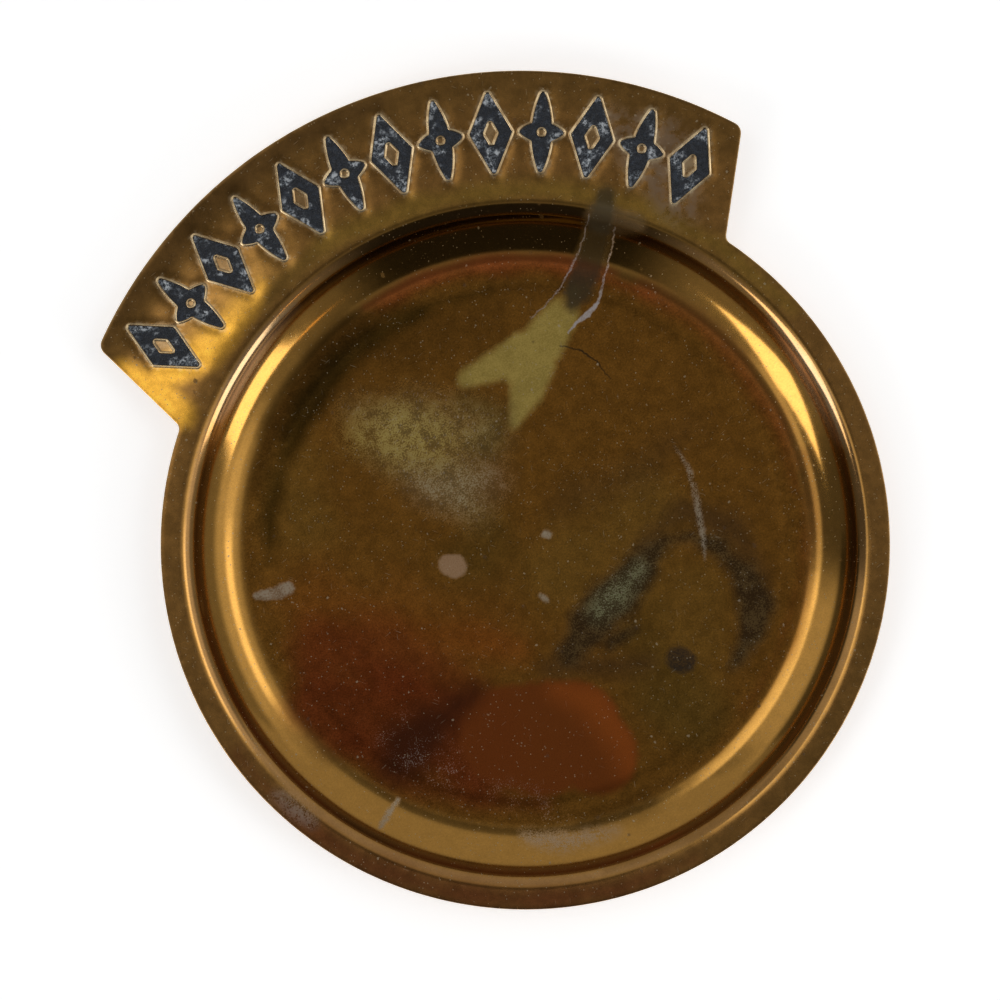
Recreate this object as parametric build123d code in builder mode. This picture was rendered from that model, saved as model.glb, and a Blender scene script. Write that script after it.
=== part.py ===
"""Coin tray: one pressed sheet of brass with sunk, enamel-filled ornaments on its banner.

The frame's origin is the centre of the dish on the surface it stands on. +Z is up,
and +Y points through the middle of the banner. All lengths are in millimetres.
"""

from build123d import *
from math import acos, cos, degrees, radians, sin, sqrt
import os

# The sheet and the round dish
sheet_thickness = 0.8
dish_radius = 63.5
flange_width = 2.9
dish_depth = 6.6
shoulder_radius = 3.7
wall_length = 0.2
wall_slope = 57.0
foot_width = 2.1
panel_rise = 0.1
step_radius = 20.0

# The banner, which the same sheet carries beyond the dish: bare metal round the row of ornaments
banner_inner_margin = 0.85
banner_outer_margin = 3.25
banner_tip_margin = 0.6
banner_root_margin = 7.05
banner_arc_offset = 2.2
tip_corner_radius = 2.0
root_fillet_radius = 1.5
cut_edge_radius = 0.2

# The row of ornaments, its pockets and its enamel
ornaments_each_side = 6
ornament_height = 15.1
ornament_spacing = 1.15
lozenge_width = 7.4
lozenge_stroke = 2.0
flower_width = 8.0
petal_width = 3.4
flower_bead_radius = 0.9
ornament_tip_radius = 0.4
pocket_depth = 0.5
lip_width = 0.35
lip_height = 0.12
reverse_margin = 0.45
reverse_rise = 0.35
reverse_corner_radius = 0.2
enamel_sink = 0.15
enamel_gap = 0.02

# A cut runs this far past the face where it ends, and a joined piece this far into its neighbour
overrun = 1.0

# Heights and radii that follow from the sizes above
rim_height = sheet_thickness + dish_depth
underside_height = rim_height - sheet_thickness
mouth_radius = dish_radius - flange_width
slope = radians(wall_slope)
curved_drop = dish_depth - wall_length * sin(slope)
cove_radius = curved_drop / (1 - cos(slope)) - shoulder_radius
step_slope = degrees(acos(1 - panel_rise / (2 * step_radius)))
enamel_thickness = pocket_depth - enamel_sink
inner_corner_radius = reverse_margin + reverse_corner_radius

# The row lies along a ring round the dish, and the banner is as large as the row needs
ornament_ring_radius = dish_radius + banner_inner_margin + ornament_height / 2
ornament_pitch = (lozenge_width + flower_width) / 2 + ornament_spacing
ornament_pitch_angle = degrees(ornament_pitch / ornament_ring_radius)
row_half_angle = (ornaments_each_side + 1 / 2) * ornament_pitch_angle
banner_reach = ornament_ring_radius + ornament_height / 2 + banner_outer_margin
banner_arc_radius = banner_reach - banner_arc_offset


def polar(radius, bearing):
    """The point at a radius from the dish's centre, at a bearing in degrees from +Y towards +X."""
    return Vector(0, radius).rotate(Axis.Z, -bearing)


def banner_edge_radius(bearing):
    """How far from the dish's centre the banner's outer arc is, at a bearing in degrees."""
    along = banner_arc_offset * cos(radians(bearing))
    aside = banner_arc_offset * sin(radians(bearing))
    return along + sqrt(banner_arc_radius**2 - aside**2)


banner_tip_bearing = row_half_angle + degrees(banner_tip_margin / ornament_ring_radius)
banner_root_bearing = row_half_angle + degrees(banner_root_margin / dish_radius)
banner_tip = polar(banner_edge_radius(banner_tip_bearing), banner_tip_bearing)
banner_root = polar(dish_radius, banner_root_bearing)
banner_end_direction = (banner_tip - banner_root).normalized()
banner_heel = banner_root - banner_end_direction * (flange_width + overrun)


def mirrored_x(point):
    """The point on the banner's other half."""
    return Vector(-point.X, point.Y)


def lozenge_outline():
    """An upright lozenge frame: a rhombus with rounded tips and a smaller rhombus left in its middle."""
    half_height = ornament_height / 2
    half_width = lozenge_width / 2
    # Both rhombi have sides of one slope, one stroke apart
    side = sqrt(half_height**2 + half_width**2)
    island_share = 1 - lozenge_stroke * side / (half_height * half_width)
    with BuildSketch() as outline:
        with BuildLine():
            Polyline(
                (0, half_height), (half_width, 0), (0, -half_height), (-half_width, 0), close=True
            )
        make_face()
        fillet(outline.vertices(), ornament_tip_radius)
        with BuildSketch(mode=Mode.PRIVATE) as island:
            with BuildLine():
                Polyline(
                    (0, island_share * half_height),
                    (island_share * half_width, 0),
                    (0, -island_share * half_height),
                    (-island_share * half_width, 0),
                    close=True,
                )
            make_face()
            fillet(island.vertices(), inner_corner_radius)
        add(island.sketch, mode=Mode.SUBTRACT)
    return outline.sketch


def petal_pair(tip, width):
    """Two petals from one tip through the middle to the opposite one, as a pointed oval between two arcs."""
    opposite_tip = -tip
    with BuildSketch(mode=Mode.PRIVATE) as pair:
        with BuildLine():
            SagittaArc(tip, opposite_tip, width / 2)
            SagittaArc(opposite_tip, tip, width / 2)
        make_face()
    return pair.sketch


def flower_outline():
    """An upright flower of four pointed petals round a bead of bare metal."""
    tips = (Vector(flower_width / 2, 0), Vector(0, ornament_height / 2))
    petals = 2 * len(tips)
    with BuildSketch() as outline:
        for tip in tips:
            add(petal_pair(tip, petal_width))
        fillet(outline.vertices().sort_by_distance((0, 0))[:petals], inner_corner_radius)
        fillet(outline.vertices().sort_by_distance((0, 0))[-petals:], ornament_tip_radius)
        Circle(flower_bead_radius, mode=Mode.SUBTRACT)
    return outline.sketch


def ornament_places():
    """Each ornament's name, outline and place: on the ring, turned so that its height points outwards."""
    flower = flower_outline()
    lozenge = lozenge_outline()
    for slot in range(-ornaments_each_side, ornaments_each_side + 1):
        number = slot + ornaments_each_side + 1
        bearing = slot * ornament_pitch_angle
        place = Location(polar(ornament_ring_radius, bearing), (0, 0, -bearing))
        if slot % 2:
            yield f"{number:02d}_flower", flower, place
        else:
            yield f"{number:02d}_lozenge", lozenge, place


os.makedirs("parts", exist_ok=True)
ornaments = list(ornament_places())

# The pressed sheet
with BuildPart() as tray:
    # Flange and banner are one flat blank
    with BuildSketch(Plane.XY.offset(underside_height)) as blank:
        Circle(dish_radius)
        with BuildLine():
            Polyline(mirrored_x(banner_tip), mirrored_x(banner_heel), banner_heel, banner_tip)
            ThreePointArc(banner_tip, (0, banner_reach), mirrored_x(banner_tip))
        make_face()
        root_corners, tip_corners = blank.vertices().group_by(Axis.Y)[-2:]
        fillet(root_corners, root_fillet_radius)
        fillet(tip_corners, tip_corner_radius)
        Circle(mouth_radius, mode=Mode.SUBTRACT)
    extrude(amount=sheet_thickness)
    rims = [face.outer_wire().edges() for face in tray.faces().filter_by(Axis.Z)]
    fillet([edge for rim in rims for edge in rim], cut_edge_radius)

    # The pan: shoulder, wall, cove, foot ring and raised middle, of one thickness
    with BuildSketch(Plane.XZ) as pan_section:
        with BuildLine() as upper_face:
            shoulder = JernArc((mouth_radius, rim_height), (-1, 0), shoulder_radius, wall_slope)
            wall = PolarLine(shoulder @ 1, wall_length, direction=shoulder % 1)
            cove = JernArc(wall @ 1, wall % 1, cove_radius, -wall_slope)
            foot = PolarLine(cove @ 1, foot_width, direction=(-1, 0))
            step_start = JernArc(foot @ 1, (-1, 0), step_radius, -step_slope)
            step_end = JernArc(step_start @ 1, step_start % 1, step_radius, step_slope)
            Line(step_end @ 1, (0, (step_end @ 1).Y))
            offset(amount=sheet_thickness, side=Side.LEFT)
        make_face()
    revolve(axis=Axis.Z)

    # Round each ornament the punch throws up a low lip, and its pocket shows as a pad behind
    with BuildSketch(Plane.XY.offset(rim_height)):
        for name, outline, place in ornaments:
            with Locations(place):
                add(offset(outline, lip_width, mode=Mode.PRIVATE))
    extrude(amount=lip_height)
    with BuildSketch(Plane.XY.offset(underside_height)):
        for name, outline, place in ornaments:
            with Locations(place):
                add(offset(outline, reverse_margin, mode=Mode.PRIVATE))
    extrude(amount=-reverse_rise)
    with BuildSketch(Plane.XY.offset(rim_height - pocket_depth)):
        for name, outline, place in ornaments:
            with Locations(place):
                add(outline)
    extrude(amount=pocket_depth + lip_height + overrun, mode=Mode.SUBTRACT)

tray.part.label = "tray"
export_step(tray.part, "parts/tray.step")

# The enamel lies on each pocket's floor, a hair inside its walls and below the sheet's face
for name, outline, place in ornaments:
    with BuildPart() as enamel:
        with BuildSketch(Plane.XY.offset(rim_height - pocket_depth)):
            with Locations(place):
                add(offset(outline, -enamel_gap, mode=Mode.PRIVATE))
        extrude(amount=enamel_thickness)
    enamel.part.label = f"enamel_{name}"
    export_step(enamel.part, f"parts/enamel_{name}.step")

print("cove radius:", round(cove_radius, 2), "banner tip:", banner_tip, "banner root:", banner_root)
print("tray volume:", round(tray.part.volume), "valid:", tray.part.is_valid)
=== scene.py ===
"""Coin tray: an aged brass dish whose banner carries a row of sunk ornaments filled with dark enamel.

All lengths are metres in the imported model's frame: the dish's centre is the origin, +Z is up, and +Y
points through the middle of the banner. A bearing is an angle from +Y towards +X.
"""

import math

import bmesh
import bpy
import numpy as np
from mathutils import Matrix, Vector
from mathutils.geometry import delaunay_2d_cdt


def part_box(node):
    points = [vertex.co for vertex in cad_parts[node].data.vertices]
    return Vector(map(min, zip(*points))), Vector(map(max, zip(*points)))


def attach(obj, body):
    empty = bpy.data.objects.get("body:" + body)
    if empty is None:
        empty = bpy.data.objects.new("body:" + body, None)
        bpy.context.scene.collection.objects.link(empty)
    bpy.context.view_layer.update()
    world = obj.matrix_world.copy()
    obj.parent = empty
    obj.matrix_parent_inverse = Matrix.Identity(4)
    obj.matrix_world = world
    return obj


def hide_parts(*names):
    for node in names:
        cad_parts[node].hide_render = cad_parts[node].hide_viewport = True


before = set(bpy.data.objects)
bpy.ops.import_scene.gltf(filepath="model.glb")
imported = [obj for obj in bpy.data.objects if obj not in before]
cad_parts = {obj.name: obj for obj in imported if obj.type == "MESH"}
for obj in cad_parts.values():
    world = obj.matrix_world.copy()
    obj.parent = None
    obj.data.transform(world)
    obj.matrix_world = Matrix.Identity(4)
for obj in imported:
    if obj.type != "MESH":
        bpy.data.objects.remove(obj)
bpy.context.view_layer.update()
_, tray_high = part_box("tray")

mm = 0.001

# The pressed sheet, in the sizes of its solid
sheet_thickness = 0.8 * mm
dish_radius = tray_high.x
flange_width = 2.9 * mm
shoulder_radius = 3.7 * mm
wall_length = 0.2 * mm
wall_slope = math.radians(57)
foot_width = 2.1 * mm
panel_rise = 0.1 * mm
step_radius = 20.0 * mm
lip_height = 0.12 * mm
rim_height = tray_high.z - lip_height
underside_height = rim_height - sheet_thickness
dish_depth = rim_height - sheet_thickness
mouth_radius = dish_radius - flange_width
cove_radius = (dish_depth - wall_length * math.sin(wall_slope)) / (1 - math.cos(wall_slope)) - shoulder_radius
step_slope = math.acos(1 - panel_rise / (2 * step_radius))

# The banner
banner_reach = tray_high.y
banner_foot = 30 * mm
banner_inner_margin = 0.85 * mm
banner_tip_margin = 0.6 * mm
banner_root_margin = 7.05 * mm
banner_arc_offset = 2.2 * mm
banner_arc_radius = banner_reach - banner_arc_offset
tip_corner_radius = 2.0 * mm
root_fillet_radius = 1.5 * mm
cut_edge_radius = 0.2 * mm
edge_wear = 0.8

# The row of ornaments
ornaments_each_side = 6
ornament_height = 15.1 * mm
ornament_spacing = 1.15 * mm
lozenge_width = 7.4 * mm
lozenge_stroke = 2.0 * mm
flower_width = 8.0 * mm
petal_width = 3.4 * mm
flower_bead_radius = 0.9 * mm
ornament_tip_radius = 0.4 * mm
inner_corner_radius = 0.65 * mm
pocket_depth = 0.5 * mm
ornament_ring_radius = dish_radius + banner_inner_margin + ornament_height / 2
ornament_pitch = (lozenge_width + flower_width) / 2 + ornament_spacing
ornament_turn = ornament_pitch / ornament_ring_radius
row_half_turn = (ornaments_each_side + 1 / 2) * ornament_turn

# Relief that the punch leaves round each pocket, as the distance into the bare metal and the height
lip_shape = np.array([
    [0.55, 0.0], [0.46, 0.008], [0.38, 0.03], [0.31, 0.06], [0.24, 0.085], [0.17, 0.095], [0.11, 0.085],
    [0.06, 0.06], [0.02, 0.02], [0.0, -0.03], [-0.02, -0.12], [-0.04, -0.3], [-0.05, -0.5],
]) * mm
dip_depth = 0.17 * mm
dip_width = 1.3 * mm
pad_rise = 0.35 * mm
pad_width = 1.1 * mm
enamel_edge_drop = 0.1 * mm
enamel_sag = 0.1 * mm
enamel_sag_width = 0.4 * mm
enamel_clearance = 0.01 * mm
enamel_waves = (1.3 * mm, 0.9 * mm)
enamel_wave_height = 0.012 * mm
enamel_wave_phase = 1.7
enamel_wear_shares = (0.3, 0.5)
rubbed_heights = (-0.05 * mm, 0.08 * mm)
island_wear = 0.3
edge_fade_width = 1.2 * mm

# How finely the surfaces are divided
dish_segments = 288
outline_spacing = 0.9 * mm
sheet_spacing = 0.52 * mm
underside_spacing = 0.75 * mm
floor_spacing = 0.9 * mm
floor_underside_spacing = 1.7 * mm
loop_gap_share = 0.55
floor_gap_share = 0.6
shoulder_steps = 14
wall_steps = 2
cove_steps = 26
foot_steps = 3
panel_step_steps = 4
cut_edge_steps = 5
root_fillet_steps = 6
banner_end_steps = 20
tip_corner_steps = 8
lozenge_side_corner_steps = 3
lozenge_side_steps = 13
lozenge_tip_steps = 6
flower_tip_steps = 3
wide_petal_steps = 6
crotch_steps = 4
tall_petal_steps = 10
island_closing_shares = (0.75, 0.5, 0.25)
enamel_top_steps = 12
enamel_floor_stride = 4
points_at_a_time = 2000
weld_distance = 0.002 * mm
merge_distance_mm = 1e-6

# How the photograph lies over the tray: it looks straight down, with the tray turned a little
photo_width_px = 1000
dish_centre_px = (525.3, 544.9)
dish_radius_px = 364.85
photo_turn = math.radians(18.9)
pixel = dish_radius / dish_radius_px
photo_centre_px = (photo_width_px / 2, photo_width_px / 2)


def turned(x, y, turn):
    """A place turned about the dish's centre, from +Y towards +X."""
    turn_cos, turn_sin = math.cos(turn), math.sin(turn)
    return x * turn_cos + y * turn_sin, y * turn_cos - x * turn_sin


def at_pixel(across, down):
    """The place on the tray under one pixel of the photograph, as x and y."""
    return turned((across - dish_centre_px[0]) * pixel, (dish_centre_px[1] - down) * pixel, photo_turn)


def smooth_step(value, low, high):
    """0 below low, 1 above high and 3t^2 - 2t^3 between them."""
    share = np.clip((value - low) / (high - low), 0, 1)
    return share * share * (3 - 2 * share)


# The used sheet's slow waves: the floor's, the rim's and the bent end of the banner
floor_wave = 0.05 * mm
floor_wave_lengths = (9.5 * mm, 12 * mm)
floor_wave_phases = (0.7, -0.4)
floor_wave_radii = (28 * mm, 44 * mm)
rim_wave = 0.035 * mm
rim_wave_counts = (3, 7)
rim_wave_phases = (0.5, 1.9)
rim_wave_shares = (1.0, 0.6)
rim_wave_radii = (56 * mm, 62 * mm)
bend_drop = 1.65 * mm
bend_start_bearing = math.radians(-13)
bend_end_bearing = math.radians(-36)
bend_fold_radius = 63.4 * mm
bend_flat_radius = 76.5 * mm
bend_softness = 0.7 * mm


def lift(x, y):
    """How far the used sheet strays from its pressed height.

    The floor carries two crossing cosines that fade out before the foot ring, and the rim carries sines
    of its bearing that only lower it. The banner's end drops on an even slope between two soft folds,
    each the logarithm of 1 + e^t, and the slope grows from nothing along the row.
    """
    radius = np.hypot(x, y)
    bearing = np.arctan2(x, y)
    floor_share = 1 - smooth_step(radius, *floor_wave_radii)
    floor = floor_wave
    for along, length, phase in zip((x, y), floor_wave_lengths, floor_wave_phases):
        floor = floor * np.cos(along / length + phase)
    rim_share = smooth_step(radius, *rim_wave_radii)
    rim = 0
    for count, phase, share in zip(rim_wave_counts, rim_wave_phases, rim_wave_shares):
        rim = rim + rim_wave * share * (np.sin(count * bearing + phase) - 1)
    bent_share = smooth_step(-bearing, -bend_start_bearing, -bend_end_bearing) * (bearing > -math.pi / 2)
    first_fold, last_fold = [
        np.logaddexp(0, (radius - fold) / bend_softness) for fold in (bend_fold_radius, bend_flat_radius)
    ]
    across = bend_softness * (first_fold - last_fold) / (bend_flat_radius - bend_fold_radius)
    return floor_share * floor + rim_share * rim - bend_drop * bent_share * across


def arc_points(centre, radius, start, end, steps):
    """Points on a circle from the start angle to the end angle, both from +X towards +Y."""
    angles = np.linspace(start, end, steps + 1)
    return np.stack([centre[0] + radius * np.cos(angles), centre[1] + radius * np.sin(angles)], axis=1)


def mirrored_loop(quarter):
    """A quarter from +X to +Y, reflected over both axes into a closed loop of points."""
    half = np.concatenate([quarter, quarter[-2::-1] * [-1, 1]])
    return np.concatenate([half[:-1], -half[:-1]])


def lozenge_loop(half_width, half_height, corner_radius, shift):
    """A rhombus with round corners, moved outwards by shift.

    The corners' centres lie on a smaller rhombus, one corner radius inside each side, so a shifted
    outline has the same centres and a larger radius. The straight side is divided evenly.
    """
    side = math.hypot(half_width, half_height)
    centre_share = 1 - corner_radius * side / (half_width * half_height)
    normal_angle = math.atan2(half_width, half_height)
    radius = corner_radius + shift
    first = arc_points((half_width * centre_share, 0), radius, 0, normal_angle, lozenge_side_corner_steps)
    last = arc_points((0, half_height * centre_share), radius, normal_angle, math.pi / 2, lozenge_tip_steps)
    shares = np.linspace(0, 1, lozenge_side_steps + 1)[1:-1, None]
    straight = first[-1] * (1 - shares) + last[0] * shares
    return mirrored_loop(np.concatenate([first, straight, last]))


def circles_meet(centre_a, radius_a, centre_b, radius_b):
    """Where two circles cross, on the side of the larger x and y."""
    apart = np.array(centre_b) - np.array(centre_a)
    distance = np.hypot(*apart)
    along = (distance**2 + radius_a**2 - radius_b**2) / (2 * distance)
    aside = math.sqrt(radius_a**2 - along**2)
    unit = apart / distance
    middle = np.array(centre_a) + unit * along
    upright = np.array([-unit[1], unit[0]])
    return max([middle + aside * upright, middle - aside * upright], key=sum)


def angle_to(start, end):
    """The angle of the line from one point to another, from +X towards +Y."""
    return math.atan2(end[1] - start[1], end[0] - start[0])


def flower_loop(shift):
    """Four pointed petals, each between two arcs, with round tips and crotches, moved outwards by shift.

    A quarter is a chain of five arcs, and each touches the next. A shifted outline keeps the centres: the
    petals and tips grow by the shift, and the crotch, which is hollow, shrinks by it.
    """
    wide_radius = (flower_width**2 / 4 + petal_width**2 / 4) / petal_width
    tall_radius = (ornament_height**2 / 4 + petal_width**2 / 4) / petal_width
    wide_centre = (0, petal_width / 2 - wide_radius)
    tall_centre = (petal_width / 2 - tall_radius, 0)
    wide_tip = (math.sqrt((wide_radius - ornament_tip_radius)**2 - wide_centre[1]**2), 0)
    tall_tip = (0, math.sqrt((tall_radius - ornament_tip_radius)**2 - tall_centre[0]**2))
    crotch = circles_meet(
        wide_centre, wide_radius + inner_corner_radius, tall_centre, tall_radius + inner_corner_radius
    )
    wide_angle = angle_to(wide_centre, wide_tip)
    tall_angle = angle_to(tall_centre, tall_tip)
    tip_radius = ornament_tip_radius + shift
    chain = [
        (wide_tip, tip_radius, 0, wide_angle, flower_tip_steps),
        (wide_centre, wide_radius + shift, wide_angle, angle_to(wide_centre, crotch), wide_petal_steps),
        (
            crotch,
            inner_corner_radius - shift,
            angle_to(crotch, wide_centre),
            angle_to(crotch, tall_centre),
            crotch_steps,
        ),
        (tall_centre, tall_radius + shift, angle_to(tall_centre, crotch), tall_angle, tall_petal_steps),
        (tall_tip, tip_radius, tall_angle, math.pi / 2, flower_tip_steps),
    ]
    arcs = [arc_points(*arc) for arc in chain]
    return mirrored_loop(np.concatenate(arcs[:1] + [arc[1:] for arc in arcs[1:]]))


def lozenge_island_loop(shift):
    """The bare rhombus in the lozenge's middle, one stroke inside its outline, moved outwards by shift."""
    half_width, half_height = lozenge_width / 2, ornament_height / 2
    share = 1 - lozenge_stroke * math.hypot(half_width, half_height) / (half_width * half_height)
    return lozenge_loop(share * half_width, share * half_height, inner_corner_radius, shift)


def bead_loop(shift):
    """The bare round bead in the flower's middle, with one point towards each point of the outline."""
    outline = flower_loop(0)
    return outline / np.hypot(*outline.T)[:, None] * (flower_bead_radius + shift)


class Ornament:
    """One sunk ornament: its name, its bearing and the closed loops round its pocket."""

    def __init__(self, slot):
        self.bearing = slot * ornament_turn
        self.number = slot + ornaments_each_side + 1
        self.kind = "flower" if slot % 2 else "lozenge"
        self.node = f"enamel_{self.number:02d}_{self.kind}"
        self.outer_edge = self.outer(0)
        self.inner_edge = self.inner(0)

    def outer(self, shift):
        """The pocket's outline, moved by shift into the sheet."""
        if self.kind == "flower":
            return flower_loop(shift)
        return lozenge_loop(lozenge_width / 2, ornament_height / 2, ornament_tip_radius, shift)

    def inner(self, shift):
        """The outline of the metal that stands in the pocket, moved by shift into that metal."""
        return bead_loop(-shift) if self.kind == "flower" else lozenge_island_loop(-shift)

    def placed(self, points):
        """Points in the ornament's own upright frame, moved to its place on the ring."""
        return np.stack(turned(points[:, 0], points[:, 1] + ornament_ring_radius, self.bearing), axis=1)

    def unplaced(self, points):
        """Points of the tray in the ornament's own upright frame."""
        x, y = turned(*points.T, -self.bearing)
        return np.stack([x, y - ornament_ring_radius], axis=1)


ornaments = [Ornament(slot) for slot in range(-ornaments_each_side, ornaments_each_side + 1)]


def distance_to_loop(points, loop):
    """The distance from each point to the nearest stretch between two neighbouring points of a loop."""
    start, side = loop, np.roll(loop, -1, axis=0) - loop
    offset = points[:, None, :] - start[None, :, :]
    share = np.clip((offset * side).sum(2) / (side * side).sum(1), 0, 1)
    gap = offset - share[:, :, None] * side
    return np.sqrt((gap * gap).sum(2).min(1))


def inside_loop(points, loop):
    """True where a point lies inside a loop that has one radius at every angle about its middle."""
    loop_angles = np.arctan2(loop[:, 1], loop[:, 0])
    order = np.argsort(loop_angles)
    angles = np.arctan2(points[:, 1], points[:, 0])
    reach = np.interp(angles, loop_angles[order], np.hypot(*loop.T)[order], period=2 * math.pi)
    return np.hypot(*points.T) < reach


def distance_outside(points, loop):
    """The distance from each point to a loop that has one radius at every angle, and 0 inside it."""
    distance = distance_to_loop(points, loop)
    distance[inside_loop(points, loop)] = 0
    return distance


def dips(points):
    """The shallow dip of the sheet round each pocket: a bell of the distance to the ornament's outline."""
    depth = np.zeros(len(points))
    for ornament in ornaments:
        local = ornament.unplaced(points)
        near = np.abs(local).max(1) < ornament_height
        if near.any():
            gap = distance_outside(local[near], ornament.outer_edge)
            depth[near] += dip_depth * np.exp(-((gap / dip_width) ** 2))
    return -depth


def pads(points):
    """How far the underside stands out behind the pockets: full under one, fading over the pad's width."""
    height = np.zeros(len(points))
    for ornament in ornaments:
        local = ornament.unplaced(points)
        near = np.abs(local).max(1) < ornament_height
        local = local[near]
        beyond = distance_outside(local, ornament.outer_edge)
        within = distance_to_loop(local, ornament.inner_edge)
        within[~inside_loop(local, ornament.inner_edge)] = 0
        fade = 1 - smooth_step(np.maximum(beyond, within), 0, pad_width)
        height[near] = np.maximum(height[near], pad_rise * fade)
    return height


def grid_faces(rows, columns):
    """Four-sided faces between neighbouring closed rings of a grid, counted row by row."""
    corner = np.arange(rows - 1)[:, None] * columns
    here = np.arange(columns)
    after = np.roll(here, -1)
    faces = [corner + here, corner + after, corner + columns + after, corner + columns + here]
    return np.stack(faces, axis=2).reshape(-1, 4).tolist()


def fan_faces(ring_start, columns, centre):
    """Three-sided faces from a ring to one point in its middle."""
    here = np.arange(columns)
    fan = [ring_start + here, ring_start + np.roll(here, -1), np.full(columns, centre)]
    return np.stack(fan, axis=1).tolist()


# Paints of the aged surface, as they look at the level at which the studio lights them. The flat floor's and
# rim's browns are partly tarnish and partly painted shade, standing for the dim ceiling that their flat faces
# mirror
gold = (0.61, 0.315, 0.070)
# Painted reflection: bright gold for the banner's bent end, where it mirrors a bright panel
reflection_bright_gold = (0.98, 0.50, 0.062)
# Painted highlight: pale gold where the shoulder shows the lamps' highlights
highlight_pale_gold = (0.52, 0.37, 0.22)
rubbed_gold = (0.58, 0.315, 0.115)
# Painted shade for the steep wall between the shoulder and the cove
wall_shade_brown = (0.21, 0.10, 0.022)
floor_brown = (0.25, 0.108, 0.017)
floor_olive = (0.27, 0.137, 0.024)
# Painted shade: dark browns for the floor's upper part and the ring where the cove meets the floor
dark_shade_brown = (0.105, 0.047, 0.009)
deep_shade_brown = (0.066, 0.034, 0.006)
black_shade_brown = (0.036, 0.019, 0.004)
dark_olive = (0.13, 0.078, 0.015)
smoke = (0.125, 0.062, 0.020)
copper = (0.62, 0.17, 0.042)
# Reddish tarnish colours, and the colours of a painted reflection of a red shape and a dark shape on the
# floor
rust_and_reflected_red = (0.26, 0.066, 0.014)
reflected_orange = (0.34, 0.105, 0.016)
reflected_dark_red = (0.21, 0.044, 0.011)
reflected_ember = (0.48, 0.118, 0.020)
reflected_dark_brown = (0.085, 0.024, 0.010)
rim_brown = (0.33, 0.165, 0.044)
rim_olive = (0.38, 0.222, 0.040)
rim_dark = (0.25, 0.130, 0.034)
rim_red = (0.25, 0.080, 0.027)
outer_brown = (0.19, 0.098, 0.029)
under_brown = (0.38, 0.20, 0.055)

# Rings of paint from the middle outwards: paint, share, start, end and soft edge
beyond_sheet = 90 * mm
paint_rings = [
    (gold, 1.0, 49.8 * mm, beyond_sheet, 2.4 * mm),
    # Painted shade: the steep wall between shoulder and cove darkened
    (wall_shade_brown, 0.7, 56.1 * mm, 58.0 * mm, 0.9 * mm),
    (rubbed_gold, 0.9, 58.1 * mm, 59.4 * mm, 0.9 * mm),
    (rim_brown, 1.0, 59.7 * mm, beyond_sheet, 0.8 * mm),
    (rim_dark, 0.8, 76 * mm, beyond_sheet, 7 * mm),
]


def along_ring(radius_px, start, end, *half_widths):
    """A chain of pixels on a ring of the photograph, from one azimuth to another in degrees.

    The half widths are those of its evenly spread pixels.
    """
    turns = np.radians(np.linspace(start, end, len(half_widths)))
    across = dish_centre_px[0] + radius_px * np.cos(turns)
    down = dish_centre_px[1] - radius_px * np.sin(turns)
    return list(zip(across, down, half_widths))
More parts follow.
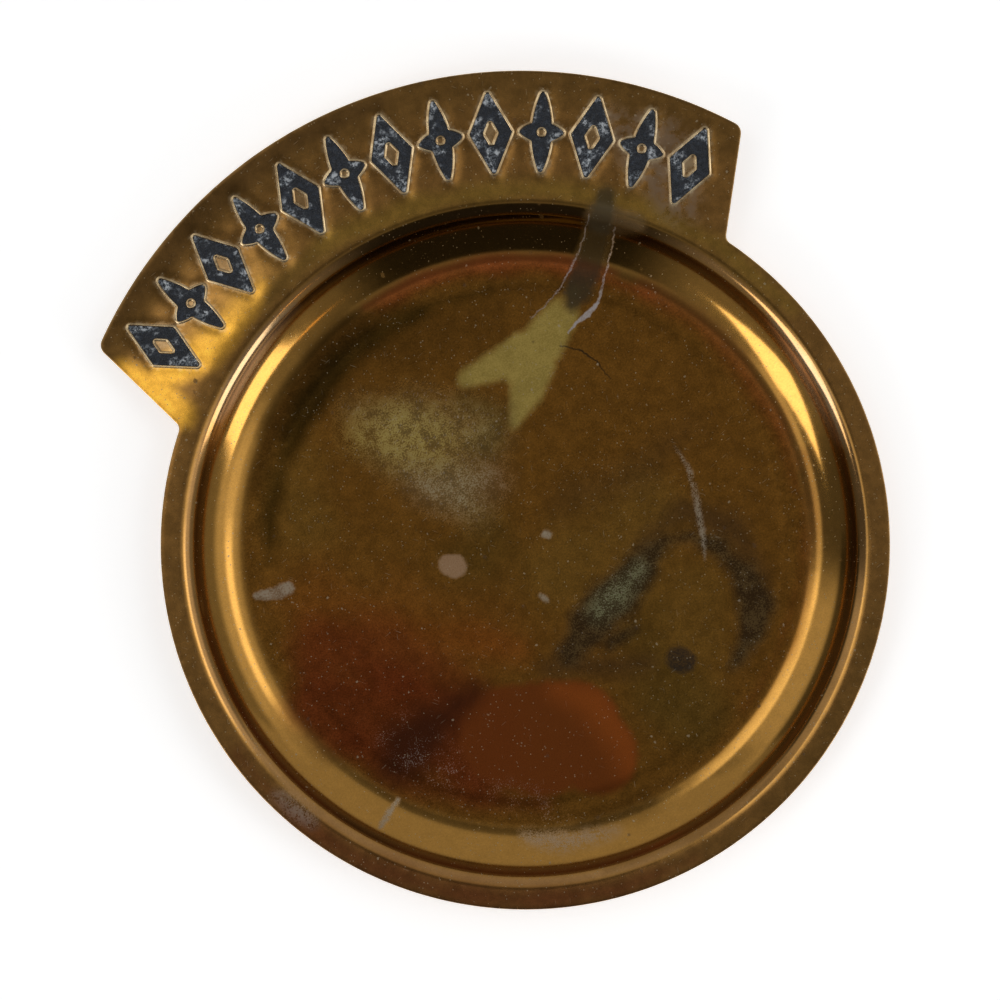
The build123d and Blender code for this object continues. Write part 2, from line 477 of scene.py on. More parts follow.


# Soft stains, with painted shade, reflections and highlights among them, painted one over another: paint,
# share, soft edge, and chains of pixels of the photograph, across and down, each with a half width in pixels
stains = [
    (floor_olive, 0.8, 12 * mm, [[(292, 470, 26), (300, 530, 24)], [(560, 570, 40), (650, 515, 40)]]),
    (floor_olive, 0.7, 9 * mm, [[(690, 590, 40), (690, 700, 36)]]),
    (dark_olive, 0.5, 9 * mm, [[(470, 560, 26), (500, 530, 20)], [(640, 640, 30), (690, 730, 34)]]),
    (smoke, 0.8, 5 * mm, [
        [(640, 548, 6), (685, 510, 11), (735, 528, 12), (768, 575, 6)],
        [(548, 668, 6), (600, 667, 11), (650, 664, 6)],
    ]),
    (smoke, 0.45, 8 * mm, [[(560, 505, 10), (640, 470, 14), (690, 430, 10)]]),
    # Painted shade: the floor darker towards its upper part, and dark rings where the cove meets the floor
    (dark_shade_brown, 0.5, 12 * mm, [[(340, 360, 30), (450, 325, 26), (520, 296, 6)]]),
    (dark_shade_brown, 0.9, 4 * mm, [along_ring(278, 116, 168, 3, 11, 14, 11, 3)]),
    (deep_shade_brown, 0.95, 3.5 * mm, [along_ring(259, 98, 184, 2, 6, 9, 11, 12, 11, 8, 4)]),
    (black_shade_brown, 0.75, 3.5 * mm, [along_ring(265, 124, 156, 3, 9, 11, 9, 3)]),
    (dark_shade_brown, 0.4, 4 * mm, [along_ring(261, 98, 40, 5, 6, 5, 3, 1)]),
    (dark_shade_brown, 0.55, 5 * mm, [[(585, 826, 8), (640, 806, 9), (700, 768, 6)]]),
    (rust_and_reflected_red, 0.85, 3.5 * mm, [along_ring(281, 122, 64, 1, 4, 6, 6, 5, 4)]),
    (rust_and_reflected_red, 0.45, 3.5 * mm, [
        along_ring(279, 64, 12, 5, 6, 6, 6, 3),
        [(806, 455, 5), (815, 520, 6), (806, 590, 6), (786, 655, 6), (750, 710, 5)],
    ]),
    (copper, 0.9, 2.2 * mm, [along_ring(288.5, 124, 72, 3, 6, 6, 5, 5, 3)]),
    (copper, 0.45, 3 * mm, [along_ring(287, 66, 16, 4, 6, 6, 5, 1)]),
    (floor_brown, 0.8, 1.2 * mm, [along_ring(283.5, 298, 356, 2, 5, 5, 5, 1)]),
    # Painted reflection of a red shape on the floor, with darker red below it
    (reflected_orange, 0.55, 12 * mm, [[(310, 600, 30), (430, 625, 30), (500, 640, 24)]]),
    (rust_and_reflected_red, 0.8, 9 * mm, [[(315, 655, 28), (360, 650, 40), (420, 665, 30)]]),
    (reflected_orange, 0.75, 5 * mm, [[(430, 634, 10), (470, 640, 14), (520, 648, 12)]]),
    (reflected_dark_red, 0.9, 7 * mm, [[(315, 700, 30), (360, 715, 48), (430, 720, 50), (480, 745, 50)]]),
    (rim_olive, 0.8, 4 * mm, [
        [(262, 300, 6), (330, 240, 9), (420, 204, 10), (500, 190, 10)],
        along_ring(357, 100, 42, 9, 10, 10, 9, 5),
    ]),
    (outer_brown, 0.9, 3 * mm, [along_ring(467, 154, 108, 7, 14, 15, 14, 12, 6)]),
    (rim_red, 0.85, 5 * mm, [along_ring(357, 216, 298, 3, 8, 10, 10, 10, 8, 3)]),
    (rim_dark, 0.7, 5 * mm, [along_ring(357, 312, 350, 4, 9, 9, 4)]),
    (outer_brown, 0.6, 4 * mm, [along_ring(357, 126, 150, 3, 8, 8, 3)]),
    (rim_brown, 0.6, 1.6 * mm, [along_ring(336, 284, 352, 3, 6, 7, 7, 3)]),
    # Painted highlight: pale gold on the shoulder and wall beside the lamps' highlights
    (highlight_pale_gold, 0.7, 1.6 * mm, [along_ring(332, 18, 42, 3, 8, 8, 3), along_ring(332, 134, 158, 3, 8, 8, 3)]),
    # Painted reflection: the banner's bent end in bright gold, with plainer gold beside it, where it mirrors
    # a bright panel
    (reflection_bright_gold, 1.0, 3.5 * mm, [
        [(122, 366, 6), (150, 388, 14), (182, 415, 14)],
        [(165, 374, 14), (205, 350, 20), (240, 312, 12), (262, 285, 4)],
    ]),
    (gold, 0.5, 6 * mm, [[(200, 330, 16), (245, 285, 16), (290, 245, 8)]]),
    # More of the painted red reflection, darker at its left and lower edge
    (reflected_dark_red, 0.5, 8 * mm, [[(312, 650, 22), (350, 660, 30), (392, 690, 16)]]),
    (reflected_dark_red, 0.65, 5 * mm, [
        [(352, 742, 14), (384, 770, 17), (424, 788, 17), (470, 800, 13), (540, 806, 8)],
    ]),
]
stain_wave_length = 7 * mm
stain_wave_share = 0.07

# The waves that shift the stains' edges: their runs across and along, their phase and their weight
stain_waves = [(1.3, 2.1, 0, 1.0), (2.9, -1.1, 1.7, 1.0), (4.7, 3.3, 0, 0.6)]

# Marks with a plainer edge. The broad ones reach the finish as distances on the mesh's points. Each has the
# wander that moves its edge, how soft that edge is, the mark's share inside it, and its chains
broad_marks = {
    # A painted reflection of a red shape on the floor, its brighter rim, and a dark reflected shape beside it
    "red_reflection": ("fine", 2.0 * mm, 0.92, [[(512, 738, 52), (542, 740, 58), (572, 733, 51), (597, 756, 41)]]),
    "red_reflection_rim": ("fine", 6.5 * mm, 0.8, [[(560, 690, 9), (596, 704, 17), (624, 740, 17), (632, 768, 12)]]),
    "dark_reflection": ("loose", 6.5 * mm, 0.92, [
        [(474, 694, 5), (452, 710, 14), (429, 730, 23), (406, 750, 27), (396, 764, 17)],
    ]),
    "film": ("fine", 2.0 * mm, 0.8, [
        [(606, 196, 10), (600, 222, 13), (596, 242, 14), (588, 266, 15), (578, 290, 14), (571, 306, 5)],
    ]),
    "flange_film": ("fine", 2.0 * mm, 0.45, [[(600, 218, 15), (636, 224, 10)]]),
    "deposit": ("fine", 1.9 * mm, 0.9, [
        [(574, 290, 6), (562, 314, 17), (541, 344, 22), (522, 364, 22)],
        [(526, 350, 20), (494, 366, 15), (466, 378, 9)],
        [(538, 362, 18), (527, 390, 17), (514, 424, 5)],
    ]),
    "run_shadow": ("fine", 3.2 * mm, 0.75, [[(592, 250, 16), (580, 280, 17), (574, 294, 14)]]),
    "haze": ("loose", 9 * mm, 1.0, [
        [(352, 408, 5), (410, 424, 30), (478, 432, 26)],
        [(400, 452, 24), (452, 478, 30), (474, 512, 12)],
    ]),
    "olive_haze": ("loose", 9 * mm, 1.0, [[(362, 436, 12), (396, 432, 26), (430, 440, 22)]]),
    "grey_haze": ("loose", 9 * mm, 1.0, [[(424, 486, 12), (462, 490, 20), (492, 480, 12)]]),
    "haze_shadow": ("loose", 4.5 * mm, 0.5, [[(466, 400, 11), (497, 412, 14), (484, 446, 14)]]),
    "pink_spot": ("fine", 0.8 * mm, 1.0, [[(449, 566, 11), (455, 567, 12)]]),
    "dark_spot": ("fine", 1.3 * mm, 1.0, [[(680, 660, 13), (684, 662, 13)]]),
    "patina": ("loose", 3.2 * mm, 0.86, [
        [(662, 545, 9), (641, 568, 19), (613, 600, 25), (591, 626, 23), (570, 652, 13)],
        [(664, 542, 8), (692, 536, 5), (722, 548, 8)],
        [(722, 550, 8), (746, 574, 15), (757, 606, 17), (752, 640, 14), (736, 664, 7)],
        [(612, 644, 10), (632, 632, 7)],
    ]),
    "verdigris": ("loose", 4.5 * mm, 1.0, [[(640, 570, 7), (613, 598, 14), (600, 613, 8)]]),
    "clean_oval": ("fine", 0.8 * mm, 1.0, [[(695, 577, 21), (699, 608, 33), (690, 650, 38)]]),
    "crumbs": ("fine", 4.5 * mm, 0.6, [
        [(488, 790, 6), (530, 800, 12), (556, 822, 8)],
        [(400, 735, 22), (436, 772, 26)],
    ]),
    "scuffs": ("loose", 3.0 * mm, 0.5, [
        [(276, 795, 4), (296, 810, 7), (311, 822, 3)],
        [(524, 838, 4), (560, 843, 10), (592, 838, 9), (616, 832, 4)],
    ]),
    "grime": ("loose", 4.5 * mm, 0.6, [[(612, 120, 12), (655, 150, 38), (680, 205, 20)]]),
}
left_crust_chain = [
    (590, 214, 0.5), (583, 240, 0.6), (573, 263, 1.1), (562, 285, 0.7), (546, 303, 0.4), (530, 318, 0.3)
]
right_crust_chain = [(616, 226, 0.5), (611, 252, 0.7), (604, 282, 0.9), (598, 301, 1.5)]
thick_crust_chain = [(598, 302, 2.0), (588, 313, 2.8), (578, 321, 1.9), (569, 332, 0.8)]
streak_chain = [(676, 446, 0.4), (690, 468, 2.6), (698, 500, 3.2), (704, 535, 2.6), (706, 560, 0.8)]
pale_patch_chains = [
    [(256, 597, 4), (275, 594, 6), (286, 589, 7)],
    [(380, 828, 2), (388, 815, 3.5), (398, 802, 2)],
    [(546, 534, 3.6), (549, 535, 4)],
    [(541, 596, 2), (547, 600, 2.6)],
]
crack_chain = [(560, 345, 0.5), (580, 349, 0.8), (598, 361, 0.7), (612, 378, 0.4)]
under_face = 50 * mm


def strokes_of(chains):
    """The strokes between the chains' neighbours: a start and a run as x and y, and both half widths."""
    for chain in chains:
        for (*start, start_width), (*end, end_width) in zip(chain, chain[1:]):
            start, end = np.array(at_pixel(*start)), np.array(at_pixel(*end))
            yield start, end - start, start_width * pixel, end_width * pixel


def distance_to_chains(points, chains):
    """How far each point is outside the nearest stroke of some chains, and below zero inside it.

    A stroke's half width changes evenly from its start to its end.
    """
    nearest = np.full(len(points), np.inf)
    for start, run, start_width, end_width in strokes_of(chains):
        share = np.clip((points - start) @ run / (run @ run), 0, 1)
        gap = np.hypot(*(points - start - share[:, None] * run).T)
        width = start_width + (end_width - start_width) * share
        nearest = np.minimum(nearest, gap - width)
    return nearest


def write_marks(mesh, name, values):
    """Gives each point of a mesh a number, under a name that the finishes read."""
    attribute = mesh.attributes.new(name, "FLOAT", "POINT")
    attribute.data.foreach_set("value", values.astype(np.float32))


class Patches:
    """Pieces of one surface with their marks, which are put together into one closed mesh."""

    def __init__(self):
        self.points, self.faces, self.upper, self.worn = [], [], [], []
        self.count = 0

    def add(self, points, faces, upper, worn=0.0):
        """Adds points and faces: upper is 1 on the sheet's upper face, worn is 1 where use rubs it bright,
        and on the enamel where painted glints go as well.
        """
        self.faces += [[corner + self.count for corner in face] for face in faces]
        self.points.append(points)
        self.upper.append(np.full(len(points), float(upper)))
        self.worn.append(np.broadcast_to(worn, len(points)).astype(float))
        self.count += len(points)

    def joined(self, name):
        """The patches as one closed mesh: neighbours share their seam's points, and faces point outwards."""
        mesh = bpy.data.meshes.new(name)
        mesh.from_pydata(np.concatenate(self.points), [], self.faces)
        write_marks(mesh, "upper", np.concatenate(self.upper))
        write_marks(mesh, "worn", np.concatenate(self.worn))
        weld = bmesh.new()
        weld.from_mesh(mesh)
        bmesh.ops.remove_doubles(weld, verts=weld.verts, dist=weld_distance)
        bmesh.ops.recalc_face_normals(weld, faces=weld.faces)
        weld.to_mesh(mesh)
        weld.free()
        mesh.shade_smooth()
        return mesh


def painted(points, upper):
    """The paint on each point: the rings from the middle outwards, and then the stains in their order.

    Three crossing waves shift a stain's edge by a share of its softness, so that none of them is even.
    """
    radius = np.hypot(*points.T)
    paint = np.tile(floor_brown, (len(points), 1))
    for colour, share, start, end, softness in paint_rings:
        inside = np.minimum(radius - start, end - radius)
        cover = share * smooth_step(inside, -softness / 2, softness / 2)
        paint += (np.array(colour) - paint) * cover[:, None]
    x, y = points.T / stain_wave_length
    shift = 0
    for across, along, phase, weight in stain_waves:
        shift = shift + weight * np.sin(across * x + along * y + phase)
    for colour, share, softness, chains in stains:
        distance = distance_to_chains(points, chains) + shift * softness * stain_wave_share
        cover = share * smooth_step(-distance, -softness / 2, softness / 2)
        paint += (np.array(colour) - paint) * cover[:, None]
    return paint * upper[:, None] + np.array(under_brown) * (1 - upper[:, None])


def place_marks(mesh):
    """Gives the tray's points their paint and their distances to the broad marks, far off underneath."""
    places = np.empty(len(mesh.vertices) * 3, np.float32)
    mesh.vertices.foreach_get("co", places)
    upper = np.empty(len(mesh.vertices), np.float32)
    mesh.attributes["upper"].data.foreach_get("value", upper)
    points = places.reshape(-1, 3)[:, :2].astype(float)
    for name, (*_, chains) in broad_marks.items():
        write_marks(mesh, name, distance_to_chains(points, chains) + (1 - upper) * under_face)
    paint = np.column_stack([painted(points, upper), np.ones(len(points))])
    attribute = mesh.attributes.new("paint", "FLOAT_COLOR", "POINT")
    attribute.data.foreach_set("color", paint.astype(np.float32).ravel())


def placed_object(name, shown):
    """An object at the origin that shows a mesh, or is a lamp or a camera."""
    piece = bpy.data.objects.new(name, shown)
    bpy.context.scene.collection.objects.link(piece)
    return piece


# The dish

def bend(place, slope, turn, radius, steps):
    """An arc of the dish's section: it leaves a place at a slope, inwards and down, and steepens by turn.

    From the place to a point, the radius falls by the arc's radius times the change of the slope's sine, and
    the height rises by it times the change of the cosine. Where turn is negative, so is the arc's radius.
    """
    slopes = slope + turn * np.linspace(0, 1, steps + 1)[1:]
    side = math.copysign(radius, turn)
    radii = place[0] - side * (np.sin(slopes) - math.sin(slope))
    heights = place[1] + side * (np.cos(slopes) - math.cos(slope))
    return np.stack([radii, heights, slopes], axis=1)


def straight(place, slope, length, steps):
    """A straight stretch of the dish's section, inwards and down at one slope."""
    lengths = length * np.linspace(0, 1, steps + 1)[1:]
    radii = place[0] - lengths * math.cos(slope)
    heights = place[1] - lengths * math.sin(slope)
    return np.stack([radii, heights, np.full(steps, slope)], axis=1)


def dish_section():
    """The dish's upper face from its mouth to the edge of its flat floor, as radius, height and slope."""
    section = [np.array([[mouth_radius, rim_height, 0.0]])]
    for stretch, *sizes in (
        (bend, 0, wall_slope, shoulder_radius, shoulder_steps),
        (straight, wall_slope, wall_length, wall_steps),
        (bend, wall_slope, -wall_slope, cove_radius, cove_steps),
        (straight, 0, foot_width, foot_steps),
        (bend, 0, -step_slope, step_radius, panel_step_steps),
        (bend, -step_slope, step_slope, step_radius, panel_step_steps),
    ):
        section.append(stretch(section[-1][-1], *sizes))
    return np.concatenate(section)


def even_ring(radius, count, step_share=0):
    """Points spread evenly on a circle about the dish's centre, moved on by a share of one step."""
    bearings = (np.arange(count) + step_share) / count * 2 * math.pi
    return radius * np.stack([np.sin(bearings), np.cos(bearings)], axis=1)


def revolved(section, drop):
    """The section carried once round the dish's axis, moved down along its own slope's normal by drop."""
    radii = section[:, 0] + drop * np.sin(section[:, 2])
    heights = section[:, 1] - drop * np.cos(section[:, 2])
    plan = np.concatenate([even_ring(radius, dish_segments) for radius in radii])
    return np.column_stack([plan, np.repeat(heights, dish_segments) + lift(*plan.T)])


def add_dish(patches):
    """The dish's upper and lower faces, revolved down to the floor's edge, and the floor inside it."""
    section = dish_section()
    sparse = np.concatenate([np.arange(0, len(section) - 1, 2), [len(section) - 1]])
    for rows, drop, spacing, upper in (
        (section, 0, floor_spacing, 1),
        (section[sparse], sheet_thickness, floor_underside_spacing, 0),
    ):
        rings = revolved(rows, drop)
        patches.add(rings, grid_faces(len(rows), dish_segments), upper)
        edge = rings[-dish_segments:, :2]
        grid = ring_grid(spacing, 0, rows[-1, 0] - spacing * floor_gap_share)
        points, faces = filled(edge, [], grid)
        patches.add(np.column_stack([points, rows[-1, 1] - drop + lift(*points.T)]), faces, upper)


# The flat sheet

def point_at(radius, bearing):
    """The point at a radius from the dish's centre and a bearing from +Y towards +X."""
    return np.array(turned(0, radius, bearing))


def line_meets_circle(start, direction, centre, radius):
    """Where a line from start meets a circle for the second time."""
    offset = start - centre
    toward = offset @ direction
    return start + direction * (-toward + math.sqrt(toward**2 - offset @ offset + radius**2))


def outline_loop(inset):
    """The outline of rim and banner, moved inwards by inset.

    The right half is a chain: the dish's arc, the hollow fillet at the banner's root, the straight end,
    the tip's round corner and the banner's arc. An inset keeps the arcs' centres.
    """
    arc_centre = np.array([0, banner_arc_offset])
    tip_bearing = row_half_turn + banner_tip_margin / ornament_ring_radius
    aside = banner_arc_offset * math.sin(tip_bearing)
    tip_reach = banner_arc_offset * math.cos(tip_bearing) + math.sqrt(banner_arc_radius**2 - aside**2)
    tip = point_at(tip_reach, tip_bearing)
    root = point_at(dish_radius, row_half_turn + banner_root_margin / dish_radius)
    ahead = (tip - root) / np.hypot(*(tip - root))
    outward = np.array([ahead[1], -ahead[0]])
    fillet_line = root + outward * root_fillet_radius
    fillet = line_meets_circle(fillet_line, ahead, np.zeros(2), dish_radius + root_fillet_radius)
    corner_line = root - outward * tip_corner_radius
    corner = line_meets_circle(corner_line, ahead, arc_centre, banner_arc_radius - tip_corner_radius)
    fillet_angle = angle_to((0, 0), fillet)
    end_angle = angle_to((0, 0), outward)
    corner_angle = angle_to(arc_centre, corner)
    dish_steps = round(dish_radius * (fillet_angle + math.pi / 2) / outline_spacing)
    arc_steps = round(banner_arc_radius * (math.pi / 2 - corner_angle) / outline_spacing)
    first = arc_points((0, 0), dish_radius - inset, -math.pi / 2, fillet_angle, dish_steps)
    second = arc_points(
        fillet, root_fillet_radius + inset, fillet_angle + math.pi, end_angle + math.pi, root_fillet_steps
    )[1:]
    fourth = arc_points(corner, tip_corner_radius - inset, end_angle, corner_angle, tip_corner_steps)
    shares = np.linspace(0, 1, banner_end_steps + 1)[1:-1, None]
    third = second[-1] * (1 - shares) + fourth[0] * shares
    fifth = arc_points(arc_centre, banner_arc_radius - inset, corner_angle, math.pi / 2, arc_steps)[1:]
    half = np.concatenate([first, second, third, fourth, fifth])
    return np.concatenate([half, half[-2:0:-1] * [-1, 1]])


def inside_any(points, loop):
    """True where a point lies inside a loop of any shape.

    A ray from such a point towards +X crosses the loop an odd number of times.
    """
    start, end = loop, np.roll(loop, -1, axis=0)
    x, y = points[:, 0][:, None], points[:, 1][:, None]
    spans = (start[:, 1] > y) != (end[:, 1] > y)
    rise = np.where(start[:, 1] == end[:, 1], 1, end[:, 1] - start[:, 1])
    crossing = start[:, 0] + (y - start[:, 1]) / rise * (end[:, 0] - start[:, 0])
    return (spans & (x < crossing)).sum(1) % 2 == 1


def ring_grid(spacing, inner, outer):
    """Points about one spacing apart on rings about the dish's centre, every other ring half a step on."""
    rings = []
    for index, radius in enumerate(np.arange(inner, outer, spacing)):
        count = max(1, round(2 * math.pi * radius / spacing))
        rings.append(even_ring(radius, count, index % 2 / 2))
    return np.concatenate(rings)


def sheet_grid(spacing, outline, holes):
    """The ring grid's points inside the flat sheet, none nearer to a loop than about half a step."""
    points = ring_grid(spacing, mouth_radius + spacing, banner_reach)
    points = points[(np.hypot(*points.T) < dish_radius) | (points[:, 1] > banner_foot)]
    points = points[inside_any(points, outline)]
    for loop in [outline] + holes:
        middle = loop.mean(0)
        near = np.hypot(*(points - middle).T) < np.hypot(*(loop - middle).T).max() + spacing
        clear = np.ones(len(points), bool)
        clear[near] = distance_in_parts(points[near], loop) > spacing * loop_gap_share
        points = points[clear]
    for loop in holes:
        points = points[~inside_any(points, loop)]
    return points


def filled(outline, holes, grid):
    """Triangles between an outline and any holes, which stay open, through the grid's points."""
    loops = [outline] + holes
    sources = np.concatenate(loops + [grid])
    edges, start = [], 0
    for loop in loops:
        here = np.arange(len(loop))
        edges += np.stack([start + here, start + np.roll(here, -1)], axis=1).tolist()
        start += len(loop)
    corners = [Vector(point) for point in (sources / mm).tolist()]
    _, _, triangles, origins, _, _ = delaunay_2d_cdt(corners, edges, [], 0, merge_distance_mm, True)
    source_of = np.array([origin[0] for origin in origins])
    triangles = source_of[np.array(triangles)]
    middles = sources[triangles].mean(1)
    keep = inside_any(middles, outline)
    for loop in holes:
        keep &= ~inside_any(middles, loop)
    return sources, triangles[keep].tolist()


def add_sheet(patches):
    """The rim's and banner's upper and lower faces, and the rounded cut edge between them."""
    rounding = np.linspace(0, math.pi / 2, cut_edge_steps + 1)
    top_insets = cut_edge_radius * (1 - np.sin(rounding))
    top_heights = rim_height - cut_edge_radius * (1 - np.cos(rounding))
    bottom_heights = underside_height + rim_height - top_heights[::-1]
    insets = np.concatenate([top_insets, top_insets[::-1]])
    heights = np.concatenate([top_heights, bottom_heights])
    rings = []
    for inset, height in zip(insets, heights):
        loop = outline_loop(inset)
        rings.append(np.column_stack([loop, height + lift(*loop.T)]))
    rubbed = np.repeat(edge_wear * np.sin(math.pi * np.arange(len(rings)) / (len(rings) - 1)), len(rings[0]))
    patches.add(np.concatenate(rings), grid_faces(len(rings), len(rings[0])), 1, rubbed)

    holes = [ornament.placed(ornament.outer(lip_shape[0, 0])) for ornament in ornaments]
    # The mouth is the circle where the flat rim begins to bend into the dish
    outline, mouth = outline_loop(cut_edge_radius), even_ring(mouth_radius, dish_segments)
    points, faces = filled(outline, [mouth] + holes, sheet_grid(sheet_spacing, outline, [mouth] + holes))
    patches.add(np.column_stack([points, upper_height(points)]), faces, 1)
    points, faces = filled(outline, [mouth], sheet_grid(underside_spacing, outline, [mouth]))
    heights = underside_height + lift(*points.T) - pads(points) * edge_fade(points)
    patches.add(np.column_stack([points, heights]), faces, 0)


def distance_in_parts(points, loop):
    """The distance to a loop, worked out for a few thousand points at a time."""
    parts = np.array_split(points, max(1, len(points) // points_at_a_time))
    return np.concatenate([distance_to_loop(part, loop) for part in parts])


def edge_fade(points):
    """1 on the banner, falling to 0 at the dish's mouth and at the outline, where patches meet."""
    from_outline = distance_in_parts(points, outline_loop(cut_edge_radius))
    from_mouth = np.hypot(*points.T) - mouth_radius
    return smooth_step(np.minimum(from_outline, from_mouth), 0, edge_fade_width)


def upper_height(points):
    """The height of the sheet's upper face: the rim's height with the lift and the faded dips."""
    return rim_height + lift(*points.T) + dips(points) * edge_fade(points)


# The pockets

def add_pocket(patches, ornament):
    """One pocket with its lips.

    The lip's section is carried round the outline, over the pocket's floor and round the metal in its
    middle, which smaller and smaller rings then close.
    """
    sides = [(ornament.outer, shift, height) for shift, height in lip_shape]
    sides += [(ornament.inner, shift, height) for shift, height in lip_shape[::-1]]
    loops = [side(shift) for side, shift, _ in sides]
    lip_heights = [height for _, _, height in sides]
    loops += [loops[-1] * share for share in island_closing_shares] + [np.zeros((1, 2))]
    flat_loops = len(loops) - len(sides)
    heights = lip_heights + [0] * flat_loops
    counts = [len(loop) for loop in loops]
    plan = ornament.placed(np.concatenate(loops))
    points = np.column_stack([plan, upper_height(plan) + np.repeat(heights, counts)])
    rubbed = [smooth_step(height, *rubbed_heights) for height in lip_heights] + [island_wear] * flat_loops
    rows, columns = len(loops) - 1, counts[0]
    faces = grid_faces(rows, columns) + fan_faces((rows - 1) * columns, columns, rows * columns)
    patches.add(points, faces, 1, np.repeat(rubbed, counts))


def enamel_fill(ornament):
    """The hardened enamel in one pocket.

    Its section runs from wall to wall and back along the pocket's floor, and is carried round the pocket.
    The top clings to the walls, sags by an exponential of the distance to the nearest wall, and has slow
    waves of its own. Its worn share grows towards the ornament's two tips, where the finish lays wear and
    painted glints.
    """
    outer, inner = ornament.outer(-enamel_clearance), ornament.inner(-enamel_clearance)
    across = (1 - np.cos(np.linspace(0, math.pi, enamel_top_steps + 1))) / 2
    local = np.concatenate([outer * (1 - share) + inner * share for share in across])
    gap = np.minimum(distance_to_loop(local, outer), distance_to_loop(local, inner))
    phase = ornament.number * enamel_wave_phase
    waves = np.sin(local[:, 1] / enamel_waves[0] + phase) * np.sin(local[:, 0] / enamel_waves[1] + 2 * phase)
    sag = enamel_edge_drop + enamel_sag * (1 - np.exp(-gap / enamel_sag_width))
    sag += enamel_wave_height * waves * smooth_step(gap, 0, enamel_sag_width)
    plan = ornament.placed(local)
    top = np.column_stack([plan, upper_height(plan) - sag])
    worn = smooth_step(np.abs(local[:, 1]) / ornament_height, *enamel_wear_shares)
    floor_shift = lip_shape[-1, 0] - enamel_clearance
    outer, inner = ornament.outer(floor_shift), ornament.inner(floor_shift)
    shares = across[::-enamel_floor_stride]
    plan = ornament.placed(np.concatenate([outer * (1 - share) + inner * share for share in shares]))
    bottom = np.column_stack([plan, upper_height(plan) - pocket_depth + enamel_clearance])
    columns = len(outer)
    points = np.concatenate([top, bottom, top[:columns]])
    marks = np.concatenate([worn, np.zeros(len(bottom)), worn[:columns]])
    patches = Patches()
    patches.add(points, grid_faces(len(points) // columns, columns), 1, marks)
    name = ornament.node.replace("enamel", "fill")
    return placed_object(name, patches.joined(name))


# Materials

noise_middle = 0.5
without_height = (1, 1, 0)
speck_choice_softness = 0.02
speck_core_share = 0.5
shade_levels = (0.3, 0.7)


class Nodes:
    """A node tree in the making, with a short call for each kind of node that the finishes use."""

    def __init__(self, tree):
        self.tree = tree

    def add(self, kind, inputs=(), **settings):
        """A node with its settings. inputs gives what its sockets get, by their names or numbers."""
        node = self.tree.nodes.new("ShaderNode" + kind)
        for name, value in settings.items():
            setattr(node, name, value)
        for socket, value in dict(inputs).items():
            self.feed(node.inputs[socket], value)
        return node

    def feed(self, socket, value):
        """A socket takes a link where the value is another node's output, and otherwise the value itself."""
        if isinstance(value, bpy.types.NodeSocket):
            self.tree.links.new(value, socket)
        else:
            socket.default_value = value

    def math(self, operation, *values, clamp=False):
        return self.add("Math", dict(enumerate(values)), operation=operation, use_clamp=clamp).outputs[0]

    def all_of(self, operation, values):
        """One operation carried on through several numbers."""
        result, *others = values
        for value in others:
            result = self.math(operation, result, value)
        return result

    def product(self, *values):
        """Several numbers multiplied."""
        return self.all_of("MULTIPLY", values)

    def most(self, *values):
        """The largest of several numbers."""
        return self.all_of("MAXIMUM", values)

    def vector(self, operation, *values):
        node = self.add("VectorMath", dict(enumerate(values)), operation=operation)
        return node.outputs["Value"] if operation in ("LENGTH", "DOT_PRODUCT") else node.outputs[0]

    def scaled(self, vector, factor):
        return self.add("VectorMath", {0: vector, "Scale": factor}, operation="SCALE").outputs[0]

    def step(self, value, low, high):
        """0 at low and 1 at high, smooth between them, whichever of the two is larger."""
        inputs = {"Value": value, "From Min": low, "From Max": high}
        return self.add("MapRange", inputs, interpolation_type="SMOOTHSTEP").outputs[0]

    def between(self, share, first, second):
        """Two numbers mixed by a share."""
        return self.add("Mix", {0: share, 2: first, 3: second}, data_type="FLOAT").outputs[0]

    def blend(self, share, first, second):
        """Two colours mixed by a share."""
        first, second = [
            value if isinstance(value, bpy.types.NodeSocket) else (*value, 1) for value in (first, second)
        ]
        return self.add("Mix", {0: share, 6: first, 7: second}, data_type="RGBA").outputs[2]

    def noise(self, place, size, detail=3.0, roughness=0.55):
        """Noise whose lumps are about size metres across: a number round one half, and then a colour."""
        inputs = {"Vector": place, "Scale": 1 / size, "Detail": detail, "Roughness": roughness}
        return self.add("TexNoise", inputs).outputs

    def stretched(self, place, turn, lengths):
        """Coordinates turned about Z and divided by a length each way, for a pattern that runs one way."""
        inputs = {"Vector": place, "Rotation": (0, 0, turn), "Scale": (*lengths, min(lengths))}
        return self.add("Mapping", inputs, vector_type="TEXTURE").outputs[0]

    def specks(self, place, share, reach):
        """Specks round scattered points, one length unit apart.

        Each point has a random number, and only a share of the points carries a speck. reach is the
        speck's radius, as a share of the spacing.
        """
        found = self.add("TexVoronoi", {"Vector": place, "Scale": 1}, feature="F1").outputs
        number = self.component(found["Color"])
        chosen = self.step(number, share + speck_choice_softness, share - speck_choice_softness)
        return self.product(chosen, self.step(found["Distance"], reach, reach * speck_core_share))

    def component(self, vector, name="X"):
        """One of a vector's numbers."""
        return self.add("SeparateXYZ", {0: vector}).outputs[name]

    def ragged(self, place, size, reach):
        """A place moved about by noise, so that outlines drawn on it are uneven, and set to height zero."""
        wander = self.vector("SUBTRACT", self.noise(place, size)[1], [noise_middle] * 3)
        moved = self.vector("ADD", place, self.scaled(wander, 2 * reach))
        return self.vector("MULTIPLY", moved, without_height)


